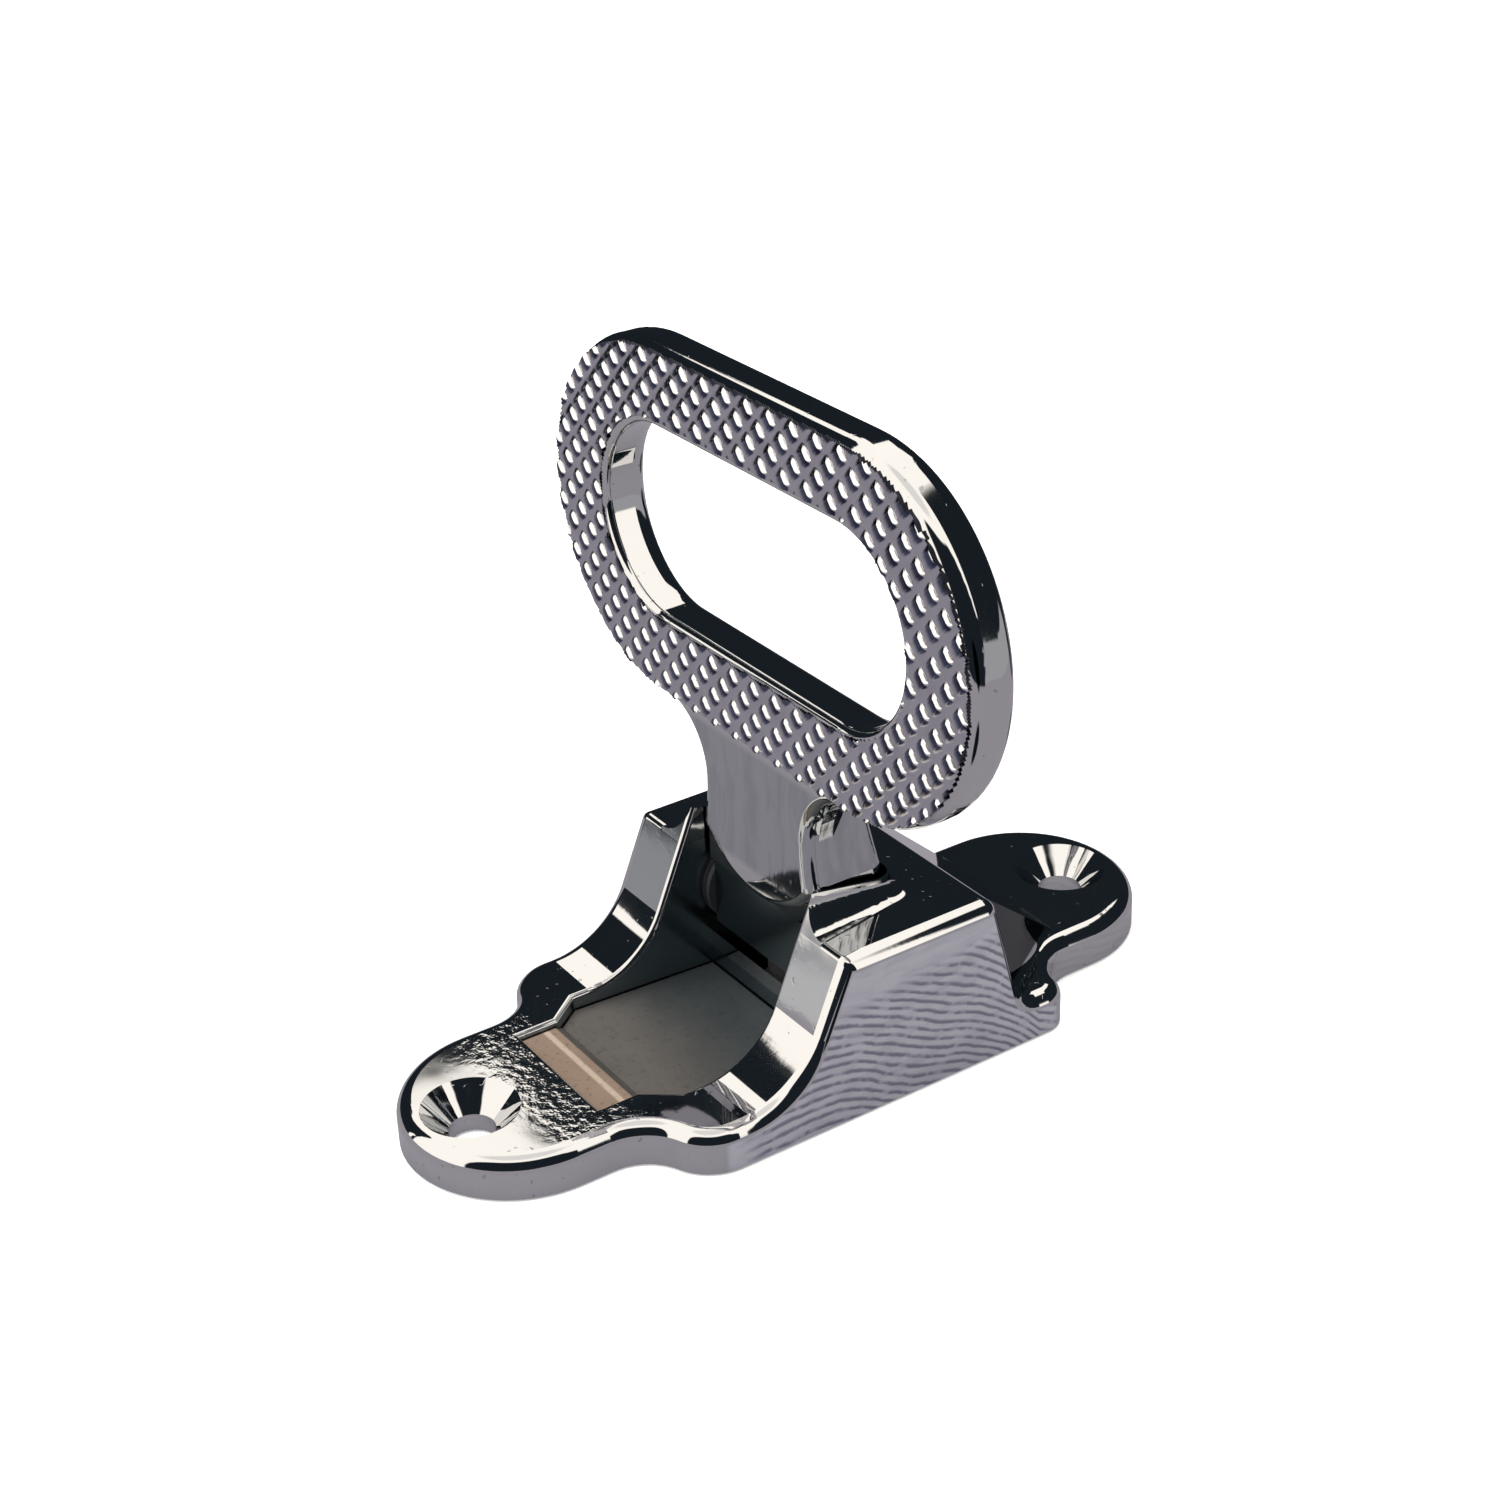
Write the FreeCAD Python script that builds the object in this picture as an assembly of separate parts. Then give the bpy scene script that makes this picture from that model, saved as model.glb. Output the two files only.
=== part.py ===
"""Folding ring handle for a window: a chromed housing with two screw ears, and a ring lever
that stands upright between two cheeks and folds forward over the front ear.

Frame, in millimetres: +X runs along the housing from the front ear to the rear ear, +Z is up,
and the origin is on the mounting face, midway between the two fixing screws. The lever turns
about a pin that lies along Y. The housing is symmetrical about the XZ plane.
"""
import FreeCAD, Part
import math
import os

Vec = FreeCAD.Vector
X_AXIS, Y_AXIS, Z_AXIS = Vec(1, 0, 0), Vec(0, 1, 0), Vec(0, 0, 1)

# Mounting plate
HOLE_SPACING = 60.0        # between the two fixing screws
PLATE_THICKNESS = 3.6
EAR_RADIUS = 9.6
EAR_CENTRE_X = 25.8        # where the round end of each ear is struck from
HALF_WIDTH = 15.2          # of the housing, over both cheeks
SCREW_HOLE_DIA = 3.8
COUNTERSINK_DIA = 8.0

# Shoulders, where the ears widen into the housing
FRONT_SHOULDER = (-22.9, -14.7)      # x where the widening starts and ends
REAR_SHOULDER = (16.1, 23.0)
REAR_CORNER_SHARE = 0.36             # of the rear S bend that its outer arc takes

# Side profile of the housing
SWOOP_START_X = -14.0
SWOOP_RADIUS = 7.8
SWOOP_LEAN = 23.0          # degrees from upright, of the front edge above the swoop
TOP_Z = 14.6
TOP_FRONT = (-4.15, TOP_Z)
TOP_REAR = (10.6, TOP_Z)
REAR_FOOT_X = 13.4         # of the steep rear edge, on the plate
FRONT_CORNER_RADIUS, REAR_CORNER_RADIUS = 0.6, 1.2      # of the housing's top
REAR_FILLET = 2.2          # where the rear edge meets the plate
EDGE_FILLET = 1.3          # along the outer top edge

# Sloping back of the housing, between the cheeks' rear edges and the rear ear
SLOPE_TOP_HALF = 13.3
SLOPE_FOOT_X = 22.7
SLOPE_FOOT_HALF = 7.0
SLOPE_FOOT_FILLET = 1.1

# Slot between the cheeks, and the pocket in front of it
SLOT_HALF = 8.4
SLOT_REAR_X = 5.3
SLOT_CORNER = 1.5
RIM_EDGE = 0.25            # width of the rim's crest
RIM_FRONT_RADIUS, RIM_REAR_RADIUS = 3.2, 1.5
POCKET_FRONT_X = -22.0
CHANNEL_HALF = 6.2         # of the pocket's narrow front
CHANNEL_END_X, FLARE_END_X = -18.4, -15.6
LEDGE_REAR_X = -18.2       # the leaf's front tab stands on a ledge up to here
LEDGE_Z = 2.3
WEB_FRONT_X = -1.7         # solid web under the hub
HUB_ROOM_RADIUS = 5.3      # round the pin, clear of the lip when the ring is folded
MOUTH_FILLET = 0.45        # round the pocket, where it opens through the ear and the swoop

# Pivot
PIVOT = Vec(1.4, 0, 9.2)
PIN_DIA = 4.0
PIN_NEAR_Y, PIN_FAR_Y = -12.6, 13.6
CAP_DIA, CAP_DEPTH = 6.0, 1.6
HUB_RADIUS = 4.2
HUB_HALF = 7.4
HUB_CLEARANCE = 0.5        # round the bushes' flanges
BUSH_DIA = 5.8
BUSH_LENGTH = 5.0
FLANGE_DIA, FLANGE_THICKNESS = 7.6, 0.5
WASHER_THICKNESS = 0.4
RUNNING_GAP = 0.05         # radial, on the pin

# Ring lever
RING_HALF_WIDTH = 28.2
RING_HALF_HEIGHT = 15.35
RING_CENTRE_Z = 41.35
RING_FRONT_X, RING_BACK_X = -2.6, 1.9
RING_FRONT_FILLET, RING_BACK_FILLET = 1.3, 1.9     # the neck's web has them too
OPENING_FRONT_FILLET = 0.6
OPENING_HALF_WIDTH = 20.1
OPENING_HALF_HEIGHT = 8.15
OPENING_CENTRE_Z = 41.7
NECK_WAIST_HALF = 7.45
NECK_BASE_HALF, NECK_BASE_Z = 8.0, 16.9
NECK_TOP_FLARE = 5.2       # radius from the neck into the ring
NECK_BACK_X, NECK_BACK_Z = 5.0, 15.2
NECK_BACK_BEND = (4.15, 20.2)        # x, z half way up the neck's curved back
NECK_REAR_FILLET = 1.3
NECK_CORE_FRONT_X = -1.7   # front of the neck below the lip, and of the hub's flat
LIP_ARC_RADIUS, LIP_BOTTOM_Z, LIP_FILLET = 9.6, 12.6, 0.7

# Base cover, leaf, friction pad and spring
COVER_THICKNESS = 1.1
COVER_FRONT_X, COVER_REAR_X, COVER_HALF = -19.4, 14.6, 12.9
COVER_CORNER = 3.0
COVER_GAP = 0.15
COVER_SCREW_X = (-8.6, 11.2)
COVER_SCREW_Y = 10.6
COVER_SCREW_DIA, COVER_SCREW_HEAD, COVER_SCREW_LENGTH = 2.0, 3.6, 3.6
LEAF_THICKNESS = 0.55
LEAF_TAB_TOP_Z = LEDGE_Z + LEAF_THICKNESS + 0.2
LEAF_GAP = 0.15
CORE_BOX = (7.8, 13.4, 8.2, 9.6)     # hollow under the sloping back: front x, rear x, half y, top z
PAD_X = 1.4
PAD_DIA, PAD_BOTTOM_Z = 5.0, 3.6
SPRING_WIRE, SPRING_DIA, SPRING_TURNS = 0.5, 4.2, 3.5
GRUB_DIA, GRUB_LENGTH = 3.0, 4.0
GRUB_Y = -10.9


def save(shape, name):
    """Write one sub-part, after checking that it is sound."""
    if not shape.isValid():
        raise ValueError(name + " is not a valid shape")
    print("%-18s %8.1f mm3, %d solid(s)" % (name, shape.Volume, len(shape.Solids)))
    shape.exportStep("parts/" + name + ".step")


def line(a, b):
    return Part.LineSegment(a, b).toShape()


def arc_about(centre, radius, start_deg, end_deg, place):
    """Arc edge in a plane: place turns the plane's two coordinates into a point."""
    def at(deg):
        turn = math.radians(deg)
        return place(centre[0] + radius * math.cos(turn), centre[1] + radius * math.sin(turn))
    return Part.Arc(at(start_deg), at((start_deg + end_deg) / 2), at(end_deg)).toShape()


def prism(edges, direction):
    """Solid swept from a closed run of edges, given in order."""
    return Part.Face(Part.Wire(edges)).extrude(direction)


def box(x0, x1, y0, y1, z0, z1):
    return Part.makeBox(x1 - x0, y1 - y0, z1 - z0, Vec(x0, y0, z0))


def cylinder_y(radius, y0, y1, centre=PIVOT):
    return Part.makeCylinder(radius, y1 - y0, Vec(centre.x, y0, centre.z), Y_AXIS)


def cylinder_z(radius, x, y, z0, z1):
    return Part.makeCylinder(radius, z1 - z0, Vec(x, y, z0), Z_AXIS)


def tube_y(outer, inner, y0, y1):
    return cylinder_y(outer, y0, y1).cut(cylinder_y(inner, y0 - 1, y1 + 1))


def plan_xy(x, y):
    return Vec(x, y, 0)


def side_xz(x, z):
    return Vec(x, -HALF_WIDTH - 2, z)


def s_bend(ear_x, wide_x, outer_share):
    """Points of the S bend from the ear's side to the cheek's side, for positive y.

    Returns the joint of its two arcs, and a point in the middle of each arc.
    """
    run, rise = abs(wide_x - ear_x), HALF_WIDTH - EAR_RADIUS
    turn = 2 * math.atan(rise / run)
    both = run / math.sin(turn)
    outer, inner = both * outer_share, both * (1 - outer_share)
    step = 1 if wide_x > ear_x else -1

    def inner_at(a):
        return Vec(ear_x + step * inner * math.sin(a), EAR_RADIUS + inner * (1 - math.cos(a)), 0)

    def outer_at(a):
        return Vec(wide_x - step * outer * math.sin(a), HALF_WIDTH - outer * (1 - math.cos(a)), 0)
    return inner_at(turn), inner_at(turn / 2), outer_at(turn / 2)


def plan_solid():
    """The outline of the plate seen from above, as a tall prism."""
    def mirror(p):
        return Vec(p.x, -p.y, 0)
    front_join, front_inner, front_outer = s_bend(FRONT_SHOULDER[0], FRONT_SHOULDER[1], 0.5)
    rear_join, rear_inner, rear_outer = s_bend(REAR_SHOULDER[1], REAR_SHOULDER[0],
                                               REAR_CORNER_SHARE)
    ear_front, wide_front = Vec(FRONT_SHOULDER[0], EAR_RADIUS, 0), Vec(FRONT_SHOULDER[1], HALF_WIDTH, 0)
    wide_rear, ear_rear = Vec(REAR_SHOULDER[0], HALF_WIDTH, 0), Vec(REAR_SHOULDER[1], EAR_RADIUS, 0)
    round_front, round_rear = Vec(-EAR_CENTRE_X, EAR_RADIUS, 0), Vec(EAR_CENTRE_X, EAR_RADIUS, 0)
    far = [line(round_front, ear_front),
           Part.Arc(ear_front, front_inner, front_join).toShape(),
           Part.Arc(front_join, front_outer, wide_front).toShape(),
           line(wide_front, wide_rear),
           Part.Arc(wide_rear, rear_outer, rear_join).toShape(),
           Part.Arc(rear_join, rear_inner, ear_rear).toShape(),
           line(ear_rear, round_rear)]
    near = [line(mirror(round_rear), mirror(ear_rear)),
            Part.Arc(mirror(ear_rear), mirror(rear_inner), mirror(rear_join)).toShape(),
            Part.Arc(mirror(rear_join), mirror(rear_outer), mirror(wide_rear)).toShape(),
            line(mirror(wide_rear), mirror(wide_front)),
            Part.Arc(mirror(wide_front), mirror(front_outer), mirror(front_join)).toShape(),
            Part.Arc(mirror(front_join), mirror(front_inner), mirror(ear_front)).toShape(),
            line(mirror(ear_front), mirror(round_front))]
    tip = EAR_CENTRE_X + EAR_RADIUS
    rear_end = [Part.Arc(round_rear, Vec(tip, 0, 0), mirror(round_rear)).toShape()]
    front_end = [Part.Arc(mirror(round_front), Vec(-tip, 0, 0), round_front).toShape()]
    return prism(far + rear_end + near + front_end, Z_AXIS * 40)


def rounded_corner(before, corner, after, radius):
    """Start, middle and end of an arc that rounds a corner between two straight lines."""
    def unit(a, b):
        d = (b[0] - a[0], b[1] - a[1])
        length = math.hypot(*d)
        return d[0] / length, d[1] / length
    u, w = unit(corner, before), unit(corner, after)
    half = math.acos(u[0] * w[0] + u[1] * w[1]) / 2
    reach = radius / math.tan(half)
    start = (corner[0] + u[0] * reach, corner[1] + u[1] * reach)
    end = (corner[0] + w[0] * reach, corner[1] + w[1] * reach)
    bisector = unit((0, 0), (u[0] + w[0], u[1] + w[1]))
    depth = radius / math.sin(half) - radius
    middle = (corner[0] + bisector[0] * depth, corner[1] + bisector[1] * depth)
    return start, middle, end


def profile_solid():
    """The housing seen from the side, as a prism wider than the plate."""
    tip = EAR_CENTRE_X + EAR_RADIUS + 1
    turn = math.radians(90 - SWOOP_LEAN)
    swoop_start = (SWOOP_START_X, PLATE_THICKNESS)
    swoop_middle = (SWOOP_START_X + SWOOP_RADIUS * math.sin(turn / 2),
                    PLATE_THICKNESS + SWOOP_RADIUS * (1 - math.cos(turn / 2)))
    swoop_end = (SWOOP_START_X + SWOOP_RADIUS * math.sin(turn),
                 PLATE_THICKNESS + SWOOP_RADIUS * (1 - math.cos(turn)))
    foot = (REAR_FOOT_X, PLATE_THICKNESS)
    front = rounded_corner(swoop_end, TOP_FRONT, TOP_REAR, FRONT_CORNER_RADIUS)
    rear = rounded_corner(TOP_FRONT, TOP_REAR, foot, REAR_CORNER_RADIUS)
    fillet = rounded_corner(TOP_REAR, foot, (tip, PLATE_THICKNESS), REAR_FILLET)

    def arc(a, b, c):
        return Part.Arc(side_xz(*a), side_xz(*b), side_xz(*c)).toShape()

    def straight(a, b):
        return line(side_xz(*a), side_xz(*b))
    edges = [straight((-tip, 0), (-tip, PLATE_THICKNESS)),
             straight((-tip, PLATE_THICKNESS), swoop_start),
             arc(swoop_start, swoop_middle, swoop_end),
             straight(swoop_end, front[0]), arc(*front),
             straight(front[2], rear[0]), arc(*rear),
             straight(rear[2], fillet[0]), arc(*fillet),
             straight(fillet[2], (tip, PLATE_THICKNESS)),
             straight((tip, PLATE_THICKNESS), (tip, 0)),
             straight((tip, 0), (-tip, 0))]
    return prism(edges, Y_AXIS * (2 * HALF_WIDTH + 4))


def polyhedron(faces):
    shell = Part.Shell([Part.Face(Part.makePolygon(face + [face[0]])) for face in faces])
    return Part.Solid(shell)


def hipped_back():
    """The sloping back, with a three-cornered hip down to each side."""
    top_x, top_z, low = TOP_REAR[0] - 0.5, TOP_REAR[1] - 0.05, PLATE_THICKNESS - 1.0
    drop = (SLOPE_FOOT_X - top_x) / (top_z - PLATE_THICKNESS)
    foot_x = SLOPE_FOOT_X + drop * (PLATE_THICKNESS - low)
    front_x = TOP_REAR[0] - 3
    a1, a2 = Vec(top_x, -SLOPE_TOP_HALF, top_z), Vec(top_x, SLOPE_TOP_HALF, top_z)
    b1, b2 = Vec(foot_x, -SLOPE_FOOT_HALF, low), Vec(foot_x, SLOPE_FOOT_HALF, low)
    c1, c2 = Vec(REAR_FOOT_X + 0.6, -SLOPE_TOP_HALF, low), Vec(REAR_FOOT_X + 0.6, SLOPE_TOP_HALF, low)
    d1, d2 = Vec(front_x, -SLOPE_TOP_HALF, low), Vec(front_x, SLOPE_TOP_HALF, low)
    e1, e2 = Vec(front_x, -SLOPE_TOP_HALF, top_z), Vec(front_x, SLOPE_TOP_HALF, top_z)
    return polyhedron([[a1, a2, b2, b1], [a1, b1, c1], [a2, c2, b2], [d1, e1, a1, c1],
                       [d2, c2, a2, e2], [e1, e2, a2, a1], [d1, d2, e2, e1], [d1, c1, b1, b2, c2, d2]])


def on_outer_top_edge(edge):
    """True for the edges where the outer wall meets the top surfaces."""
    mid = edge.valueAt((edge.FirstParameter + edge.LastParameter) / 2)
    if mid.z < PLATE_THICKNESS - 0.01:
        return False
    return not any(abs(v.Z) < 0.01 for v in edge.Vertexes)


def outer_wall(shape):
    """Edges that the upright outer wall shares with the top."""
    chosen = []
    for edge in shape.Edges:
        if not on_outer_top_edge(edge):
            continue
        faces = shape.ancestorsOfType(edge, Part.Face)
        upright = [abs(face.normalAt(*face.Surface.parameter(edge.valueAt(edge.FirstParameter))).z) < 1e-3
                   for face in faces]
        across = abs(edge.tangentAt(edge.FirstParameter).y) > 0.999 and edge.Length > HALF_WIDTH
        if any(upright) and not across:
            chosen.append(edge)
    return chosen


def screw_hole(x):
    """A countersunk hole, as the solid to cut."""
    sink = (COUNTERSINK_DIA - SCREW_HOLE_DIA) / 2
    cone = Part.makeCone(SCREW_HOLE_DIA / 2, COUNTERSINK_DIA / 2, sink,
                         Vec(x, 0, PLATE_THICKNESS - sink), Z_AXIS)
    above = cylinder_z(COUNTERSINK_DIA / 2, x, 0, PLATE_THICKNESS, PLATE_THICKNESS + 2)
    return cone.fuse(cylinder_z(SCREW_HOLE_DIA / 2, x, 0, -1, PLATE_THICKNESS)).fuse(above)


def cover_outline(gap, thickness):
    """The base cover's slab, grown by a gap for the recess that takes it."""
    slab = box(COVER_FRONT_X - gap, COVER_REAR_X + gap, -COVER_HALF - gap, COVER_HALF + gap,
               0, thickness)
    upright = [edge for edge in slab.Edges if abs(edge.tangentAt(0).z) > 0.9]
    return slab.makeFillet(COVER_CORNER + gap, upright)


def cover_screw_places():
    return [(x, y) for x in COVER_SCREW_X for y in (-COVER_SCREW_Y, COVER_SCREW_Y)]


def pocket_plan(gap):
    """The pocket seen from above: narrow at the front, flaring to the slot's width."""
    outline = [(POCKET_FRONT_X + gap, CHANNEL_HALF - gap), (CHANNEL_END_X, CHANNEL_HALF - gap),
               (FLARE_END_X, SLOT_HALF - gap), (SLOT_REAR_X, SLOT_HALF - gap)]
    points = [Vec(x, y, -1) for x, y in outline] + [Vec(x, -y, -1) for x, y in reversed(outline)]
    return Part.Face(Part.makePolygon(points + [points[0]])).extrude(Z_AXIS * 50)


def slot_prism(grow, z0, z1):
    """The lever's slot seen from above, open to the front, with round rear corners."""
    half, rear, radius = SLOT_HALF + grow, SLOT_REAR_X + grow, SLOT_CORNER + grow
    front, mid = WEB_FRONT_X, radius * (1 - math.sqrt(0.5))

    def at(x, y):
        return Vec(x, y, z0)
    edges = [line(at(front, -half), at(rear - radius, -half)),
             Part.Arc(at(rear - radius, -half), at(rear - mid, -half + mid),
                      at(rear, -half + radius)).toShape(),
             line(at(rear, -half + radius), at(rear, half - radius)),
             Part.Arc(at(rear, half - radius), at(rear - mid, half - mid),
                      at(rear - radius, half)).toShape(),
             line(at(rear - radius, half), at(front, half)), line(at(front, half), at(front, -half))]
    return prism(edges, Z_AXIS * (z1 - z0))


def rim_section(radius, place):
    """Hollow-curved section of the rim: place turns (distance out from the slot, z) into a point."""
    low, edge = TOP_Z - 1.5, RIM_EDGE
    mid = radius * (1 - math.sqrt(0.5))
    foot, crest = place(edge + radius, TOP_Z), place(edge, TOP_Z + radius)
    return Part.Wire([line(place(-0.5, low), place(-0.5, TOP_Z + radius)),
                      line(place(-0.5, TOP_Z + radius), crest),
                      Part.Arc(crest, place(edge + mid, TOP_Z + mid), foot).toShape(),
                      line(foot, place(edge + radius, low)),
                      line(place(edge + radius, low), place(-0.5, low))])


def slot_rim():
    """The rim round the slot that sweeps up to the neck, taller at the front than at the rear."""
    corner_x, corner_y = SLOT_REAR_X - SLOT_CORNER, SLOT_HALF - SLOT_CORNER
    lean = math.tan(math.radians(SWOOP_LEAN))
    front_x = TOP_FRONT[0] - 2
    pieces = []
    for side in (-1, 1):
        front = rim_section(RIM_FRONT_RADIUS, lambda u, z: Vec(front_x, side * (SLOT_HALF + u), z))
        rear = rim_section(RIM_REAR_RADIUS, lambda u, z: Vec(corner_x, side * (SLOT_HALF + u), z))
        pieces.append(Part.makeLoft([front, rear], True, True))
        pieces.append(Part.Face(rear).revolve(Vec(corner_x, side * corner_y, 0), Z_AXIS, -side * 90))
    back = rim_section(RIM_REAR_RADIUS, lambda u, z: Vec(SLOT_REAR_X + u, -corner_y, z))
    pieces.append(Part.Face(back).extrude(Y_AXIS * 2 * corner_y))
    rim = pieces[0].fuse(pieces[1:])
    top = TOP_Z + RIM_FRONT_RADIUS + 1
    lean_face = [Vec(TOP_FRONT[0] + lean * (z - TOP_Z), -30, z) for z in (TOP_Z - 3, top)]
    keep = lean_face + [Vec(30, -30, top), Vec(30, -30, TOP_Z - 3)]
    wedge = Part.Face(Part.makePolygon(keep + [keep[0]])).extrude(Y_AXIS * 60)
    return rim.common(wedge)


def pocket_mouth(shape):
    """Edges of the pocket on the ear's flat top and on the swoop."""
    swoop_top = PLATE_THICKNESS + SWOOP_RADIUS * (1 - math.sin(math.radians(SWOOP_LEAN)))
    return [edge for edge in shape.Edges
            if POCKET_FRONT_X - 0.1 < edge.CenterOfMass.x < TOP_FRONT[0]
            and abs(edge.CenterOfMass.y) < SLOT_HALF + 0.01
            and all(PLATE_THICKNESS - 0.01 < vertex.Z < swoop_top + 0.01 for vertex in edge.Vertexes)]


def housing():
    """The chromed casting: plate, cheeks and sloping back."""
    shape = plan_solid().common(profile_solid())
    shape = shape.makeFillet(EDGE_FILLET, outer_wall(shape))
    shape = shape.fuse(hipped_back()).removeSplitter()
    foot = [edge for edge in shape.Edges if abs(edge.CenterOfMass.x - SLOPE_FOOT_X) < 0.05
            and abs(edge.CenterOfMass.z - PLATE_THICKNESS) < 0.05]
    shape = shape.makeFillet(SLOPE_FOOT_FILLET, foot)
    shape = shape.fuse(slot_rim()).removeSplitter()

    slot = slot_prism(0, PIVOT.z, 40)
    hub_room = cylinder_y(HUB_ROOM_RADIUS, -SLOT_HALF, SLOT_HALF)
    pocket = pocket_plan(0).common(box(LEDGE_REAR_X, WEB_FRONT_X, -SLOT_HALF, SLOT_HALF, -1, 40))
    channel = pocket_plan(0).common(box(POCKET_FRONT_X, LEDGE_REAR_X, -SLOT_HALF, SLOT_HALF,
                                        LEDGE_Z, 40))
    shape = shape.cut(slot.fuse([hub_room, pocket, channel]))
    shape = shape.makeFillet(MOUTH_FILLET, pocket_mouth(shape))

    shape = shape.cut(cover_outline(COVER_GAP, COVER_THICKNESS))
    core_front, core_rear, core_half, core_top = CORE_BOX
    shape = shape.cut(box(core_front, core_rear, -core_half, core_half, 0, core_top))
    for x, y in cover_screw_places():
        shape = shape.cut(cylinder_z(COVER_SCREW_DIA / 2, x, y, 0, COVER_SCREW_LENGTH + 0.3))
    shape = shape.cut(cylinder_z(PAD_DIA / 2 + RUNNING_GAP, PAD_X, 0, 0, PIVOT.z))
    shape = shape.cut(cylinder_z(GRUB_DIA / 2, PIVOT.x, GRUB_Y, 0, PIVOT.z))

    shape = shape.cut(cylinder_y(PIN_DIA / 2, PIN_NEAR_Y, HALF_WIDTH + 1))
    shape = shape.cut(cylinder_y(CAP_DIA / 2, HALF_WIDTH - CAP_DEPTH, HALF_WIDTH + 1))
    for x in (-HOLE_SPACING / 2, HOLE_SPACING / 2):
        shape = shape.cut(screw_hole(x))
    return shape


def stadium(half_length, half_height, centre_z, x0, x1):
    """A long round-ended prism across the lever, from x0 to x1."""
    reach = half_length - half_height

    def at(y, z):
        return Vec(x0, y, centre_z + z)
    edges = [line(at(-reach, half_height), at(reach, half_height)),
             Part.Arc(at(reach, half_height), at(half_length, 0), at(reach, -half_height)).toShape(),
             line(at(reach, -half_height), at(-reach, -half_height)),
             Part.Arc(at(-reach, -half_height), at(-half_length, 0), at(-reach, half_height)).toShape()]
    return prism(edges, X_AXIS * (x1 - x0))


def edges_at_x(shape, x):
    return [edge for edge in shape.Edges
            if all(abs(vertex.X - x) < 1e-4 for vertex in edge.Vertexes)]


def neck_side(sign, top_z):
    """Side of the neck below its flare, in front view, from the hub up to top_z if that is higher."""
    flare_z = RING_CENTRE_Z - RING_HALF_HEIGHT - NECK_TOP_FLARE
    swell = ((NECK_BASE_HALF - NECK_WAIST_HALF) ** 2 + (flare_z - NECK_BASE_Z) ** 2) \
        / (2 * (NECK_BASE_HALF - NECK_WAIST_HALF))
    half_way = (flare_z - NECK_BASE_Z) / 2
    bulge = swell - math.sqrt(swell ** 2 - half_way ** 2)

    def at(y, z):
        return Vec(RING_FRONT_X, sign * y, z)
    edges = [Part.Arc(at(NECK_WAIST_HALF, flare_z), at(NECK_WAIST_HALF + bulge, flare_z - half_way),
                      at(NECK_BASE_HALF, NECK_BASE_Z)).toShape(),
             line(at(NECK_BASE_HALF, NECK_BASE_Z), at(NECK_BASE_HALF, PIVOT.z))]
    if top_z > flare_z:
        edges.insert(0, line(at(NECK_WAIST_HALF, top_z), at(NECK_WAIST_HALF, flare_z)))
    return edges


def web():
    """The part of the neck that has the ring's thickness, flaring into the ring."""
    top = RING_CENTRE_Z - RING_HALF_HEIGHT
    inside, flare_z = top + 3, top - NECK_TOP_FLARE
    flare_y = NECK_WAIST_HALF + NECK_TOP_FLARE
    quarter = NECK_TOP_FLARE * (1 - math.sqrt(0.5))

    def side(sign):
        def at(y, z):
            return Vec(RING_FRONT_X, sign * y, z)
        return [line(at(flare_y, inside), at(flare_y, top)),
                Part.Arc(at(flare_y, top), at(NECK_WAIST_HALF + quarter, top - quarter),
                         at(NECK_WAIST_HALF, flare_z)).toShape()] + neck_side(sign, flare_z)
    foot = line(Vec(RING_FRONT_X, -NECK_BASE_HALF, PIVOT.z), Vec(RING_FRONT_X, NECK_BASE_HALF, PIVOT.z))
    head = line(Vec(RING_FRONT_X, flare_y, inside), Vec(RING_FRONT_X, -flare_y, inside))
    return prism(side(-1) + [foot] + side(1)[::-1] + [head], X_AXIS * (RING_BACK_X - RING_FRONT_X))


def spine():
    """The neck's thicker middle, which swells to the rear on its way down to the pin."""
    inside = RING_CENTRE_Z - RING_HALF_HEIGHT + 3
    foot = line(Vec(RING_FRONT_X, -NECK_BASE_HALF, PIVOT.z), Vec(RING_FRONT_X, NECK_BASE_HALF, PIVOT.z))
    head = line(Vec(RING_FRONT_X, NECK_WAIST_HALF, inside), Vec(RING_FRONT_X, -NECK_WAIST_HALF, inside))
    front_view = prism(neck_side(-1, inside) + [foot] + neck_side(1, inside)[::-1] + [head], X_AXIS * 30)

    def at(x, z):
        return Vec(x, -20, z)
    ring_back = RING_BACK_X - 0.3
    side_view = prism([line(at(NECK_CORE_FRONT_X, inside), at(ring_back, inside)),
                       Part.Arc(at(ring_back, inside), at(*NECK_BACK_BEND),
                                at(NECK_BACK_X, NECK_BACK_Z)).toShape(),
                       line(at(NECK_BACK_X, NECK_BACK_Z), at(NECK_BACK_X, PIVOT.z)),
                       line(at(NECK_BACK_X, PIVOT.z), at(NECK_CORE_FRONT_X, PIVOT.z)),
                       line(at(NECK_CORE_FRONT_X, PIVOT.z), at(NECK_CORE_FRONT_X, inside))], Y_AXIS * 40)
    shape = front_view.common(side_view)
    rear = [edge for edge in shape.Edges if edge.CenterOfMass.x > 0
            and abs(edge.Vertexes[0].Z - edge.Vertexes[-1].Z) > 0.5]
    return shape.makeFillet(NECK_REAR_FILLET, rear)


def lip_relief():
    """What is cut from under the curved lip at the foot of the neck's front face."""
    arc_centre = LIP_BOTTOM_Z + LIP_ARC_RADIUS
    block = box(RING_FRONT_X - 1, NECK_CORE_FRONT_X, -NECK_BASE_HALF - 1, NECK_BASE_HALF + 1,
                PIVOT.z - 1, NECK_BASE_Z + 0.2)
    disc = Part.makeCylinder(LIP_ARC_RADIUS, 10, Vec(RING_FRONT_X, 0, arc_centre), X_AXIS)
    return block.cut(disc.makeFillet(LIP_FILLET, edges_at_x(disc, RING_FRONT_X)))


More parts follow.
